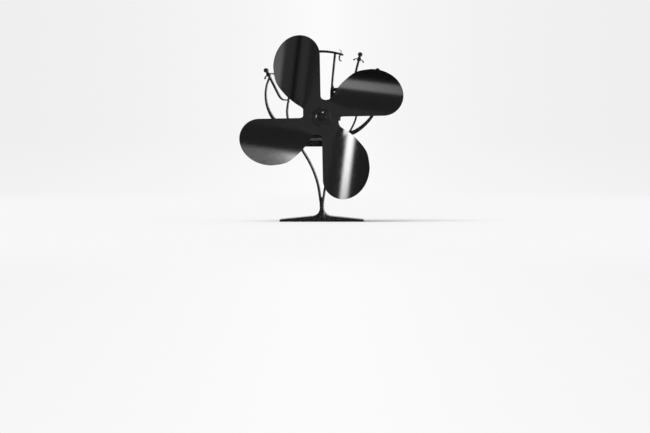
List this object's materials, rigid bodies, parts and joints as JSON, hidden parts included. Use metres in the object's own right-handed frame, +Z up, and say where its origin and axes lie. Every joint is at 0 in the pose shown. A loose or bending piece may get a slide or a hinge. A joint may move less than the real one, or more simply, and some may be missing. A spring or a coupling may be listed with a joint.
{
  "type": "stove fan",
  "caption": "Heat-powered stove fan: forked stand, finned crown with finials and a carrying bar, thermoelectric module, motor and a curled sheet rotor.",
  "frame": {"origin": "middle of the foot's flat underside", "axes": "+Z up, -Y to the front where the rotor is, X across"},
  "size_m": [0.1754, 0.0764, 0.1996],
  "materials": {
    "satin_black_aluminium": "black anodised, satin",
    "gloss_black_aluminium": "smooth gloss black coating",
    "graphite": "pressed graphite, matt",
    "ceramic": "fired white alumina",
    "seal": "cured silicone",
    "telluride": "grey semiconductor with solder and copper tabs",
    "steel": "plated steel",
    "spring_steel": "tempered spring steel",
    "bronze": "sintered bronze, oiled",
    "copper": "enamelled copper wire and copper",
    "brass": "turned or stamped brass",
    "ferrite": "ground ferrite",
    "cap_plastic": "moulded black plastic",
    "cream_plastic": "moulded natural plastic",
    "silicone_red": "red silicone sleeve on stranded wire",
    "silicone_black": "black silicone sleeve on stranded wire"
  },
  "bodies": {
    "stationary": {"base_stand": "satin_black_aluminium", "crown_heat_sink": "satin_black_aluminium", "hot_side_graphite_pad": "graphite", "cold_side_graphite_pad": "graphite", "hot_side_ceramic": "ceramic", "cold_side_ceramic": "ceramic", "thermocouple_chain": "telluride", "module_edge_seal": "seal", "motor_set_screw": "steel", "lead_red": "silicone_red", "lead_black": "silicone_black", "motor_can": "steel", "motor_end_cap": "cap_plastic", "front_bush": "bronze", "rear_bush": "bronze", "field_magnet_left": "ferrite", "field_magnet_right": "ferrite", "terminal_left": "brass", "terminal_right": "brass", "brush_left": "graphite", "brush_right": "graphite", "clamp_screw_1": "steel", "clamp_spring_washer_1": "spring_steel", "clamp_insulator_1": "cream_plastic", "clamp_screw_2": "steel", "clamp_spring_washer_2": "spring_steel", "clamp_insulator_2": "cream_plastic", "clamp_screw_3": "steel", "clamp_spring_washer_3": "spring_steel", "clamp_insulator_3": "cream_plastic", "clamp_screw_4": "steel", "clamp_spring_washer_4": "spring_steel", "clamp_insulator_4": "cream_plastic"},
    "rotor": {"fan_blades": "gloss_black_aluminium", "hub_boss": "satin_black_aluminium", "hub_washer": "gloss_black_aluminium", "hub_nut": "gloss_black_aluminium", "hub_grub_screw": "steel", "motor_shaft": "steel", "armature_core": "steel", "commutator_sleeve": "cream_plastic", "thrust_washer_front": "cream_plastic", "thrust_washer_rear": "cream_plastic", "armature_coil_1": "copper", "commutator_segment_1": "copper", "armature_coil_2": "copper", "commutator_segment_2": "copper", "armature_coil_3": "copper", "commutator_segment_3": "copper"}
  },
  "joints": [
    {"name": "rotor_spin", "type": "hinge", "parent": "stationary", "child": "rotor", "pos_m": [0, 0, 0.1119], "axis": [0, -1, 0], "continuous": true}
  ]
}
